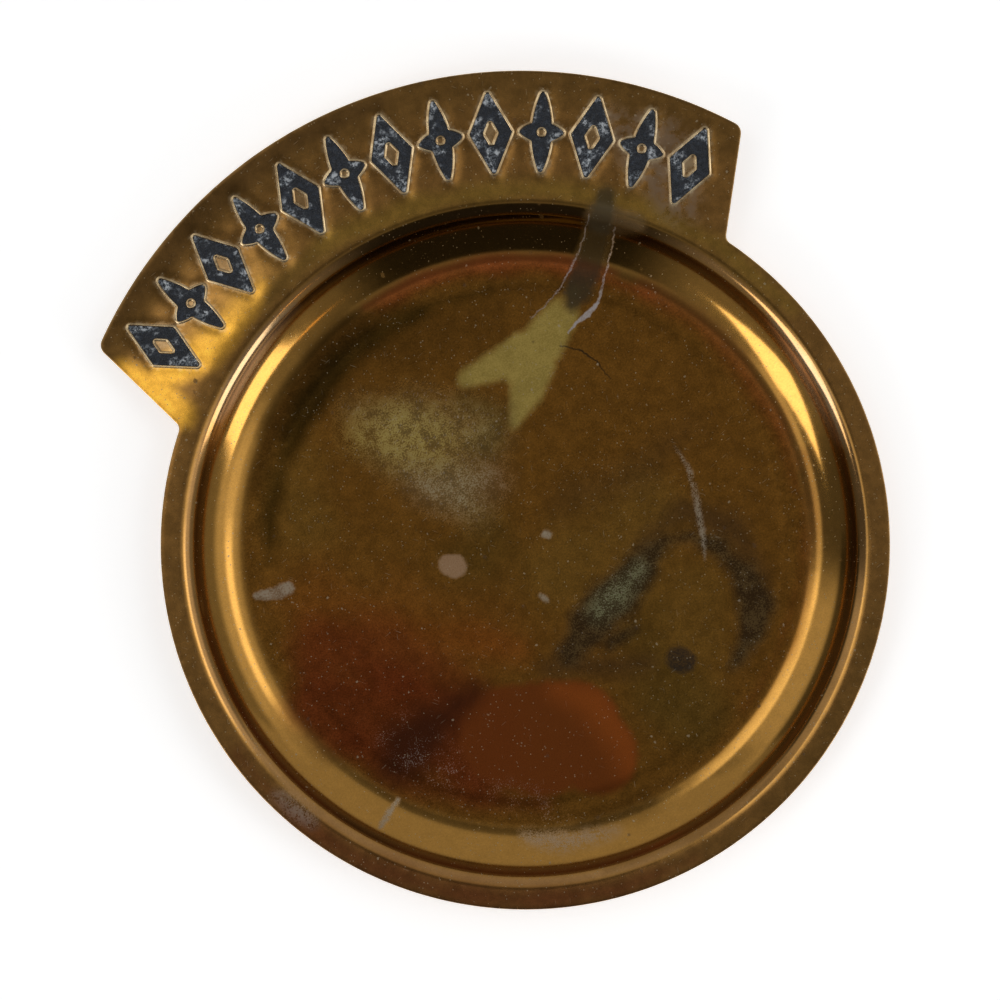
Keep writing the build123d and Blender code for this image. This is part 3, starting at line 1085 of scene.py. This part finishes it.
class Finish:
    """A material laid in layers, each over a part of the last one's colour, metal share and roughness."""

    def __init__(self, name, colour, metal, roughness):
        self.material = bpy.data.materials.new(name)
        self.material.use_nodes = True
        self.nodes = Nodes(self.material.node_tree)
        self.surface = self.material.node_tree.nodes["Principled BSDF"]
        self.colour, self.metal, self.roughness = colour, metal, roughness
        self.place = self.nodes.add("TexCoord").outputs["Object"]

    def lay(self, cover, colour=None, metal=None, roughness=None):
        """Lays one more layer where cover is above zero. What isn't given stays as it was."""
        if colour is not None:
            self.colour = self.nodes.blend(cover, self.colour, colour)
        if metal is not None:
            self.metal = self.nodes.between(cover, self.metal, metal)
        if roughness is not None:
            self.roughness = self.nodes.between(cover, self.roughness, roughness)

    def shade(self, value, low, high):
        """Makes the colour lighter and darker, from low to high, as a number goes through shade_levels."""
        factor = self.nodes.between(self.nodes.step(value, *shade_levels), low, high)
        self.colour = self.nodes.add("HueSaturation", {"Value": factor, "Color": self.colour}).outputs[0]

    def done(self, height, bump_height):
        """Feeds the shader, with a bump whose height goes from nothing to bump_height."""
        bump = self.nodes.add("Bump", {"Strength": 1, "Distance": bump_height, "Height": height}).outputs[0]
        for socket, value in (
            ("Base Color", self.colour),
            ("Metallic", self.metal),
            ("Roughness", self.roughness),
            ("Normal", bump),
        ):
            self.nodes.feed(self.surface.inputs[socket], value)
        return self.material

    def attribute(self, name):
        """A number that the mesh carries on its points."""
        return self.nodes.add("Attribute", attribute_name=name).outputs["Fac"]


def stroke_group():
    """A node group: the distance to a stroke between two points, whose half width changes evenly.

    The nearest point of the middle line is at the share dot(p - a, b - a) / |b - a|^2, held between 0 and 1,
    and the half width there is taken off the distance, so that the result is below zero inside the stroke.
    """
    group = bpy.data.node_groups.new("stroke", "ShaderNodeTree")
    for name, kind in (
        ("Place", "NodeSocketVector"),
        ("Start", "NodeSocketVector"),
        ("Run", "NodeSocketVector"),
        ("Start width", "NodeSocketFloat"),
        ("End width", "NodeSocketFloat"),
    ):
        group.interface.new_socket(name, in_out="INPUT", socket_type=kind)
    group.interface.new_socket("Distance", in_out="OUTPUT", socket_type="NodeSocketFloat")
    nodes = Nodes(group)
    given = group.nodes.new("NodeGroupInput").outputs
    offset = nodes.vector("SUBTRACT", given["Place"], given["Start"])
    length_squared = nodes.vector("DOT_PRODUCT", given["Run"], given["Run"])
    along = nodes.vector("DOT_PRODUCT", offset, given["Run"])
    share = nodes.math("DIVIDE", along, length_squared, clamp=True)
    gap = nodes.vector("LENGTH", nodes.vector("SUBTRACT", offset, nodes.scaled(given["Run"], share)))
    width = nodes.between(share, given["Start width"], given["End width"])
    result = group.nodes.new("NodeGroupOutput")
    group.links.new(nodes.math("SUBTRACT", gap, width), result.inputs[0])
    return group


stroke = stroke_group()


def stroke_mask(nodes, place, chains, softness):
    """1 inside chains of strokes and 0 outside, with an edge that is softness wide.

    A chain is a list of pixels of the photograph, across and down, each with a half width in pixels.
    """
    nearest = None
    for start, run, start_width, end_width in strokes_of(chains):
        ends = {"Start": (*start, 0), "Run": (*run, 0), "Start width": start_width, "End width": end_width}
        distance = nodes.add("Group", {"Place": place, **ends}, node_tree=stroke).outputs[0]
        nearest = distance if nearest is None else nodes.math("MINIMUM", nearest, distance)
    return nodes.step(nearest, softness / 2, -softness / 2)


# The noises: the size of their lumps, their detail, and their roughness where it isn't the usual one
cloud_noise = (11 * mm, 4)
mottle_noise = (2.2 * mm, 6, 0.62)
grain_noise = (0.3 * mm, 3, 0.7)
wave_noise = (5 * mm, 2)
enamel_mottle_noise = (0.9 * mm, 5, 0.65)
enamel_lump_noise = (0.32 * mm, 3)
enamel_wear_noise = (3.0 * mm, 3)

# How high the bumps are, how far apart or how long the small things are, and how soft the narrow marks' edges
brass_bump = 0.012 * mm
enamel_bump = 0.12 * mm
dust_spacing = 0.55 * mm
flake_spacing = 2.0 * mm
blot_spacing = 4.2 * mm
scratch_lengths = (2.6 * mm, 0.22 * mm)
hair_lengths = (1.3 * mm, 0.2 * mm)
scratch_turns = [math.radians(degrees) for degrees in (22, 79, 141)]
crisp_edge = 0.25 * mm
plain_edge = 0.8 * mm

# How noise moves the marks' edges: the size of its lumps, and how far it moves them
wander_sizes = {"fine": (1.5 * mm, 0.55 * mm), "loose": (9 * mm, 2.0 * mm)}

# What the marks look like. A look is a colour, a metal share (None keeps the one below) and a roughness
patina_dark, patina_pale = (0.036, 0.021, 0.009), (0.120, 0.080, 0.032)
patina_metal, patina_roughness = 0.9, 0.3
deposit_dark, deposit_pale = (0.33, 0.235, 0.040), (0.46, 0.335, 0.070)
deposit_metal, deposit_roughness = 0.35, 0.5
crack_brown = (0.06, 0.035, 0.015)
verdigris_look = ((0.25, 0.25, 0.125), 0.6, 0.42)
dark_spot_look = ((0.036, 0.023, 0.014), 0.75, 0.36)
film_look = ((0.040, 0.032, 0.014), 0.6, 0.32)
flange_film_look = ((0.17, 0.135, 0.075), 0.5, 0.42)
haze_pit_look = ((0.10, 0.072, 0.022), 0.6, 0.4)
pink_spot_look = ((0.35, 0.20, 0.095), 0.1, 0.6)
crumb_look = ((0.32, 0.26, 0.22), 0.2, 0.55)
scuff_look = ((0.36, 0.32, 0.27), 0.3, 0.5)
grime_look = ((0.20, 0.155, 0.115), 0.5, 0.48)
crust_look = ((0.42, 0.37, 0.35), 0.0, 0.6)
pale_patch_look = ((0.38, 0.32, 0.23), 0.2, 0.6)
rubbed_look = ((0.90, 0.70, 0.42), None, 0.2)
dust_look = ((0.45, 0.37, 0.25), 0.5, 0.5)
blot_look = ((0.07, 0.04, 0.02), 0.5, 0.5)

# The haze's flecks: the mark, their share, the level that they start from and their colour
haze_flecks = [
    ("haze", 0.72, 0.78, (0.36, 0.27, 0.085)),
    ("olive_haze", 0.78, 0.74, (0.50, 0.38, 0.095)),
    ("grey_haze", 0.6, 0.82, (0.42, 0.37, 0.25)),
]
haze_fleck_rise = 0.22
haze_metal, haze_roughness = 0.4, 0.5
haze_least_share = 0.1
haze_pit_share = 0.6

# The levels of a noise between which its pattern goes from nothing to all
fleck_levels = (0.32, 0.56)
patina_levels = (0.74, 0.88)
deposit_levels = (0.66, 0.94)
torn_levels = (0.7, 0.86)
sparse_levels = (0.90, 0.99)
haze_pit_levels = (0.88, 0.72)
patchy_levels = (0.35, 0.6)
rubbed_levels = (0.38, 0.6)

# How much of the brass's noises goes into their sums, and between which shares a noise fades a mark
crowd_mottle_share = 0.6
clump_grain_share = 0.95
clump_mottle_share = 0.75
wave_grain_share = 0.05
cove_fade_share = 0.75
curve_fade_share = 0.7
verdigris_shares = (0.15, 1.0)
dark_spot_shares = (0.97, 0.75)
pink_spot_shares = (0.7, 1.0)
crust_shares = (0.25, 0.8)
thick_crust_shares = (0.7, 1)
pale_patch_shares = (0.35, 0.8)
streak_shares = (0.05, 0.72)
rubbed_shares = (0.4, 0.9)
dust_shares = (0.1, 1.0)

# Small things all over: how many of the scattered points carry one, and its reach
scratch_specks = (0.025, 0.3)
hair_specks = (0.2, 0.3)
dust_specks = (0.2, 0.26)
flake_specks = (0.16, 0.13)
blot_specks = (0.3, 0.12)
scratch_share, flake_share, hair_share, blot_share = 0.4, 0.6, 0.65, 0.5

# The brass: the roughness of its zones, and how far its paint goes darker and lighter
cove_roughness, floor_roughness, rim_roughness, under_roughness = 0.10, 0.25, 0.23, 0.3
mottle_roughness, mottle_roughness_share = 0.32, 0.25
mottle_shades = (0.83, 1.17)
grain_shades = (0.72, 1.26)

# Where the roughness changes, as distances from the dish's centre
floor_edge = (50.4 * mm, 48.4 * mm)
flange_edge = (59.4 * mm, 60.4 * mm)


def brass_finish():
    """Lacquered brass that has aged: brown where it lies flat, partly tarnish and partly painted shade, gold
    in its curves, marked by long use, and carrying painted reflections, shade and highlights.
    """
    finish = Finish("aged_brass", gold, 1.0, cove_roughness)
    nodes, place = finish.nodes, finish.place
    finish.colour = nodes.add("Attribute", attribute_name="paint").outputs["Color"]
    radius = nodes.vector("LENGTH", nodes.vector("MULTIPLY", place, without_height))
    upper, worn = finish.attribute("upper"), finish.attribute("worn")
    clouds = nodes.noise(place, *cloud_noise)[0]
    mottle = nodes.noise(place, *mottle_noise)[0]
    grain = nodes.noise(place, *grain_noise)[0]
    fleck = nodes.step(grain, *fleck_levels)
    wanders = {}
    for kind, (size, reach) in wander_sizes.items():
        wander = nodes.math("SUBTRACT", nodes.noise(place, size)[0], noise_middle)
        wanders[kind] = nodes.product(wander, 2 * reach)

    def mark(name):
        """How much a broad mark covers, from its distance, which its wander moves, and its soft edge."""
        wander, softness, share, _ = broad_marks[name]
        distance = nodes.math("ADD", finish.attribute(name), wanders[wander])
        cover = nodes.step(distance, softness / 2, -softness / 2)
        return cover if share == 1 else nodes.product(cover, share)

    def faded(cover, pattern, shares):
        """A cover times a share, which goes from the first to the second as the pattern goes from 0 to 1."""
        return nodes.product(cover, nodes.between(pattern, *shares))

    def strokes(chains, softness):
        """How much some narrow marks cover, with edges that noise moves about."""
        return stroke_mask(nodes, edge_place, chains, softness)

    def fine_lines(lengths, specks, turns):
        """Short thin lines in several directions, as specks that are stretched along each turn."""
        return nodes.most(*[nodes.specks(nodes.stretched(place, turn, lengths), *specks) for turn in turns])

    # The zones' gloss, and the unevenness of the paint, which is least where the sheet is gold
    curved, flat_rim = nodes.step(radius, *floor_edge[::-1]), nodes.step(radius, *flange_edge)
    cove = nodes.math("SUBTRACT", curved, flat_rim)
    finish.lay(nodes.math("SUBTRACT", 1, curved), roughness=floor_roughness)
    finish.lay(flat_rim, roughness=rim_roughness)
    finish.lay(nodes.math("SUBTRACT", 1, upper), roughness=under_roughness)
    finish.shade(nodes.between(nodes.product(cove, cove_fade_share), mottle, noise_middle), *mottle_shades)
    finish.shade(nodes.between(nodes.product(curved, curve_fade_share), grain, noise_middle), *grain_shades)

    # Painted reflection of a red shape on the floor, with its brighter rim and a dark reflected shape, then
    # tarnish under the lacquer
    red_reflection = mark("red_reflection")
    finish.lay(red_reflection, rust_and_reflected_red)
    finish.lay(nodes.product(red_reflection, mark("red_reflection_rim")), reflected_ember)
    finish.lay(mark("dark_reflection"), reflected_dark_brown)
    crowd = nodes.math("ADD", grain, nodes.product(mottle, crowd_mottle_share))
    patina_tone = nodes.step(crowd, *patina_levels)
    patina = nodes.math("SUBTRACT", mark("patina"), mark("clean_oval"), clamp=True)
    finish.lay(patina, nodes.blend(patina_tone, patina_dark, patina_pale), patina_metal, patina_roughness)
    finish.lay(faded(mark("verdigris"), patina_tone, verdigris_shares), *verdigris_look)
    finish.lay(faded(mark("dark_spot"), patina_tone, dark_spot_shares), *dark_spot_look)

    # What has run into the dish and dried there
    deposit_tone = nodes.blend(nodes.step(crowd, *deposit_levels), deposit_dark, deposit_pale)
    deposit = nodes.product(mark("deposit"), nodes.math("SUBTRACT", 1, mark("run_shadow")))
    finish.lay(deposit, deposit_tone, deposit_metal, deposit_roughness)
    finish.lay(mark("film"), *film_look)
    finish.lay(mark("flange_film"), *flange_film_look)

    # Haze: pits, flecks and short hairs that stand closest in its middle
    finish.lay(mark("haze_shadow"), dark_olive)
    haze = mark("haze")
    clump_parts = [nodes.product(grain, clump_grain_share), nodes.product(mottle, clump_mottle_share)]
    clumps = nodes.math("ADD", *clump_parts)
    finish.lay(nodes.product(haze, nodes.step(clumps, *haze_pit_levels), haze_pit_share), *haze_pit_look)
    for name, share, start, colour in haze_flecks:
        flecks = nodes.step(clumps, start, start + haze_fleck_rise)
        cover = haze if name == "haze" else mark(name)
        finish.lay(faded(cover, flecks, (haze_least_share, share)), colour, haze_metal, haze_roughness)

    # Spots, pale patches and grime
    finish.lay(faded(mark("pink_spot"), fleck, pink_spot_shares), *pink_spot_look)
    torn = nodes.step(crowd, *torn_levels)
    finish.lay(nodes.product(mark("crumbs"), nodes.step(crowd, *sparse_levels)), *crumb_look)
    finish.lay(nodes.product(mark("scuffs"), torn), *scuff_look)
    finish.lay(nodes.product(mark("grime"), nodes.step(mottle, *patchy_levels)), *grime_look)

    # Narrow marks
    edge_place = nodes.ragged(place, *wander_sizes["fine"])
    finish.lay(strokes([crack_chain], crisp_edge), crack_brown)
    crust = nodes.most(
        faded(strokes([left_crust_chain, right_crust_chain], crisp_edge), torn, crust_shares),
        faded(strokes([thick_crust_chain], crisp_edge), torn, thick_crust_shares),
    )
    finish.lay(nodes.product(crust, upper), *crust_look)
    pale = nodes.most(
        faded(strokes(pale_patch_chains, plain_edge), torn, pale_patch_shares),
        faded(strokes([streak_chain], plain_edge), torn, streak_shares),
    )
    finish.lay(nodes.product(pale, upper), *pale_patch_look)
    finish.lay(faded(worn, nodes.step(mottle, *rubbed_levels), rubbed_shares), *rubbed_look)

    # Fine scratches, dust, pale flakes and small dark blots all over
    scratches = fine_lines(scratch_lengths, scratch_specks, scratch_turns)
    scratches = nodes.product(scratches, nodes.step(clouds, *patchy_levels), upper)
    hairs = fine_lines(hair_lengths, hair_specks, scratch_turns[:2])
    dust = nodes.specks(nodes.scaled(place, 1 / dust_spacing), *dust_specks)
    flakes = nodes.specks(nodes.scaled(edge_place, 1 / flake_spacing), *flake_specks)
    pale = nodes.most(
        nodes.product(scratches, scratch_share),
        faded(dust, mottle, dust_shares),
        nodes.product(flakes, flake_share),
        nodes.product(hairs, haze, hair_share),
    )
    finish.lay(pale, *dust_look)
    blots = nodes.specks(nodes.scaled(edge_place, 1 / blot_spacing), *blot_specks)
    finish.lay(nodes.product(blots, blot_share), *blot_look)
    finish.lay(nodes.product(mottle, mottle_roughness_share), roughness=mottle_roughness)
    waves = nodes.noise(place, *wave_noise)[0]
    height = nodes.math("ADD", waves, nodes.product(grain, wave_grain_share))
    return finish.done(height, brass_bump)


# The enamel's colours, and the levels at which its noises bring them in. The slate scuffs and the pale grey
# are partly wear and partly painted glints, pale patches where the glossy lumps would catch the lamps
enamel_black, enamel_blue = (0.006, 0.009, 0.015), (0.028, 0.038, 0.056)
enamel_roughness, enamel_lump_roughness = 0.16, 0.3
enamel_blue_levels = (0.44, 0.70)
scuffed_glint_look = ((0.24, 0.28, 0.32), 0.0, 0.4)
scuffed_glint_share = 0.75
scuffed_glint_wear_levels = (0.50, 0.66)
scuffed_glint_lump_levels = (0.42, 0.62)
bare_glint_grey = (0.70, 0.74, 0.78)
bare_glint_share = 0.85
bare_glint_wear_levels = (0.50, 0.64)
bare_glint_mottle_levels = (0.50, 0.59)
enamel_lump_levels = (0.35, 0.65)
enamel_worn_share = 0.16
enamel_mottle_bump_share = 2


def enamel_finish():
    """Hard blue-black enamel, lumpy and glossy, with slate-grey wear and painted pale glints in patches and
    towards the tips.
    """
    finish = Finish("blue_black_enamel", enamel_black, 0.0, enamel_roughness)
    nodes, place = finish.nodes, finish.place
    mottle = nodes.noise(place, *enamel_mottle_noise)[0]
    lumps = nodes.noise(place, *enamel_lump_noise)[0]
    wear = nodes.noise(place, *enamel_wear_noise)[0]
    finish.lay(nodes.step(mottle, *enamel_blue_levels), enamel_blue)
    wear = nodes.math("ADD", wear, nodes.product(finish.attribute("worn"), enamel_worn_share))
    # Painted glints, partly wear: pale slate and grey patches where the glossy lumps would catch the lamps
    scuffed_glints = nodes.product(nodes.step(wear, *scuffed_glint_wear_levels), nodes.step(lumps, *scuffed_glint_lump_levels))
    finish.lay(nodes.product(scuffed_glints, scuffed_glint_share), *scuffed_glint_look)
    bare = nodes.product(nodes.step(wear, *bare_glint_wear_levels), nodes.step(mottle, *bare_glint_mottle_levels))
    finish.lay(nodes.product(bare, bare_glint_share), bare_glint_grey)
    finish.lay(nodes.step(lumps, *enamel_lump_levels), roughness=enamel_lump_roughness)
    height = nodes.math("ADD", lumps, nodes.product(mottle, enamel_mottle_bump_share))
    return finish.done(height, enamel_bump)


# Floor, light and camera

floor_half_width = 3.0
floor_drop = 0.02 * mm
floor_white = 0.9
floor_dullness = 0.9
floor_gloss = 0.1
floor_glow = 0.60


def add_floor():
    """A plain white floor that the foot ring stands on.

    It takes the dish's shadow, and shows a little brighter to the camera and in the metal than it is lit.
    """
    corners = np.array([(-1, -1), (1, -1), (1, 1), (-1, 1)]) * floor_half_width
    mesh = bpy.data.meshes.new("floor")
    mesh.from_pydata(np.column_stack([corners, np.full(4, -floor_drop)]).tolist(), [], [(0, 1, 2, 3)])
    material = bpy.data.materials.new("white_floor")
    material.use_nodes = True
    nodes = Nodes(material.node_tree)
    surface = material.node_tree.nodes["Principled BSDF"]
    surface.inputs["Base Color"].default_value = (floor_white, floor_white, floor_white, 1)
    surface.inputs["Roughness"].default_value = floor_dullness
    surface.inputs["Specular IOR Level"].default_value = floor_gloss
    surface.inputs["Emission Color"].default_value = (1, 1, 1, 1)
    path = nodes.add("LightPath").outputs
    seen = nodes.most(path["Is Camera Ray"], path["Is Glossy Ray"], path["Is Transmission Ray"])
    nodes.feed(surface.inputs["Emission Strength"], nodes.product(seen, floor_glow))
    mesh.materials.append(material)
    placed_object("floor", mesh)


def sky_direction(azimuth, elevation):
    """A direction from an azimuth in the photograph, counted from its right edge towards its top."""
    turn = math.radians(azimuth) - photo_turn
    level = math.cos(math.radians(elevation))
    return Vector((math.cos(turn) * level, math.sin(turn) * level, math.sin(math.radians(elevation))))


# The lamps: name, azimuth, elevation, width and height in degrees, brightness and colour
softbox_distance = 0.6
softboxes = [
    ("side_softbox", 330.5, 25.5, 19, 28.6, 2.4, (1, 1, 1)),
    ("warm_lamp", 314, 39.5, 5, 2.5, 1.7, (1.0, 0.62, 0.2)),
]


def add_softbox(name, azimuth, elevation, width, height, radiance, colour):
    """A soft lamp that faces the dish, its width and height given as the angles that they fill in degrees.

    Its power is pi times its area times the brightness of its face.
    """
    lamp = bpy.data.lights.new(name, "AREA")
    lamp.shape = "RECTANGLE"
    lamp.size = 2 * softbox_distance * math.tan(math.radians(width / 2))
    lamp.size_y = 2 * softbox_distance * math.tan(math.radians(height / 2))
    lamp.energy = math.pi * lamp.size * lamp.size_y * radiance
    lamp.color = colour
    holder = placed_object(name, lamp)
    direction = sky_direction(azimuth, elevation)
    holder.location = direction * softbox_distance
    holder.rotation_euler = direction.to_track_quat("Z", "Y").to_euler()
    holder.visible_camera = False


# The studio's walls and lamps, as patches of the sky about the dish. Each has an azimuth and an elevation,
# a half width and a half height, and a soft edge, all in degrees, and then its brightness. The dark ones have
# one soft edge aside and one above. A lean makes a patch narrower with height, by so many degrees for each
# degree up
wall_brightness = 0.22
high_brightness = 0.12
overhead_brightness = 0.30
high_edge = (58, 74)
overhead_edge = (79, 85)
dark_panels = [
    (274, 20, 31, 41, 18, 7, 0.07),
    (187, 24, 14, 32, 10, 10, 0.40),
    (158, 2, 24, 13, 8, 5, 0.40),
]
bright_panels = [
    (8, 54, 30, 26, 16, 0.42, 0),
    (14, 56, 17, 6.5, 8, 1.25, 0),
    (87, 30, 49, 37, 3, 0.15, 0.3),
    (150, 69, 24, 11, 5, 1.1, 0),
    (156, 40, 18, 22, 12, 0.32, 0),
    (194, 61, 26, 5.5, 5, 0.50, 0),
    (345, 54, 14, 9, 8, 0.25, 0),
]
key_lamp = (214, 36, 18, 20.5, 0.1, 2.4)


def add_world():
    """A plain studio: even grey walls, with the brighter and darker panels that the metal's curves mirror."""
    world = bpy.data.worlds.new("studio")
    bpy.context.scene.world = world
    world.use_nodes = True
    nodes = Nodes(world.node_tree)
    direction = nodes.add("TexCoord").outputs["Generated"]
    across, along, up = [nodes.component(direction, name) for name in "XYZ"]
    elevation = nodes.product(nodes.math("ARCSINE", up), math.degrees(1))
    azimuth = nodes.product(nodes.math("ARCTAN2", along, across), math.degrees(1))
    azimuth = nodes.math("ADD", azimuth, math.degrees(photo_turn))

    def offsets(middle, height):
        """How far a direction is from a patch's middle, aside and above, in degrees."""
        aside = nodes.math("ABSOLUTE", nodes.math("WRAP", nodes.math("SUBTRACT", azimuth, middle), 180, -180))
        return aside, nodes.math("SUBTRACT", elevation, height)

    def panel(middle, height, half_width, half_height, softness, softness_above, lean=0):
        """A four-sided patch. Its half width falls by lean for each degree above its middle."""
        aside, above = offsets(middle, height)
        if lean:
            aside = nodes.math("ADD", aside, nodes.product(above, lean))
        above = nodes.math("ABSOLUTE", above)
        return nodes.product(
            nodes.step(aside, half_width + softness / 2, half_width - softness / 2),
            nodes.step(above, half_height + softness_above / 2, half_height - softness_above / 2),
        )

    def diamond(middle, height, half_width, half_height, softness):
        """A patch that stands on its corner: the shares of its half sizes add up to less than 1 inside it."""
        aside, above = offsets(middle, height)
        aside = nodes.product(aside, 1 / half_width)
        above = nodes.product(nodes.math("ABSOLUTE", above), 1 / half_height)
        return nodes.step(nodes.math("ADD", aside, above), 1 + softness / 2, 1 - softness / 2)

    brightness = nodes.between(nodes.step(elevation, *high_edge), wall_brightness, high_brightness)
    for *shape, strength in dark_panels:
        brightness = nodes.product(brightness, nodes.between(panel(*shape), 1, strength))
    for *shape, strength, lean in bright_panels:
        brightness = nodes.math("ADD", brightness, nodes.product(panel(*shape, shape[-1], lean), strength))
    brightness = nodes.math("ADD", brightness, nodes.product(diamond(*key_lamp[:-1]), key_lamp[-1]))
    brightness = nodes.between(nodes.step(elevation, *overhead_edge), brightness, overhead_brightness)
    background = world.node_tree.nodes["Background"]
    background.inputs["Color"].default_value = (1, 1, 1, 1)
    nodes.feed(background.inputs["Strength"], brightness)


camera_distance = 1.0
camera_sensor_width = 36
camera_clip = (0.01, 100)


def add_camera():
    """A long lens straight above the middle of the photograph, turned as the photograph is."""
    camera = bpy.data.cameras.new("camera")
    camera.sensor_width = camera_sensor_width
    camera.lens = camera.sensor_width * camera_distance / (photo_width_px * pixel)
    camera.clip_start, camera.clip_end = camera_clip
    holder = placed_object("camera", camera)
    holder.location = (*at_pixel(*photo_centre_px), rim_height + camera_distance)
    holder.rotation_euler = (0, 0, -photo_turn)
    bpy.context.scene.camera = holder


def dress(piece, material, node):
    """A finished piece gets its material, rides on the tray's one body and stands for its node."""
    piece.data.materials.append(material)
    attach(piece, "root")
    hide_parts(node)


brass = brass_finish()
enamel = enamel_finish()

sheet = Patches()
add_dish(sheet)
add_sheet(sheet)
for ornament in ornaments:
    add_pocket(sheet, ornament)
pressed_tray = sheet.joined("pressed_tray")
place_marks(pressed_tray)
dress(placed_object("pressed_tray", pressed_tray), brass, "tray")
for ornament in ornaments:
    dress(enamel_fill(ornament), enamel, ornament.node)

add_floor()
add_world()
for softbox in softboxes:
    add_softbox(*softbox)
add_camera()
bpy.context.scene.view_settings.view_transform = "Standard"
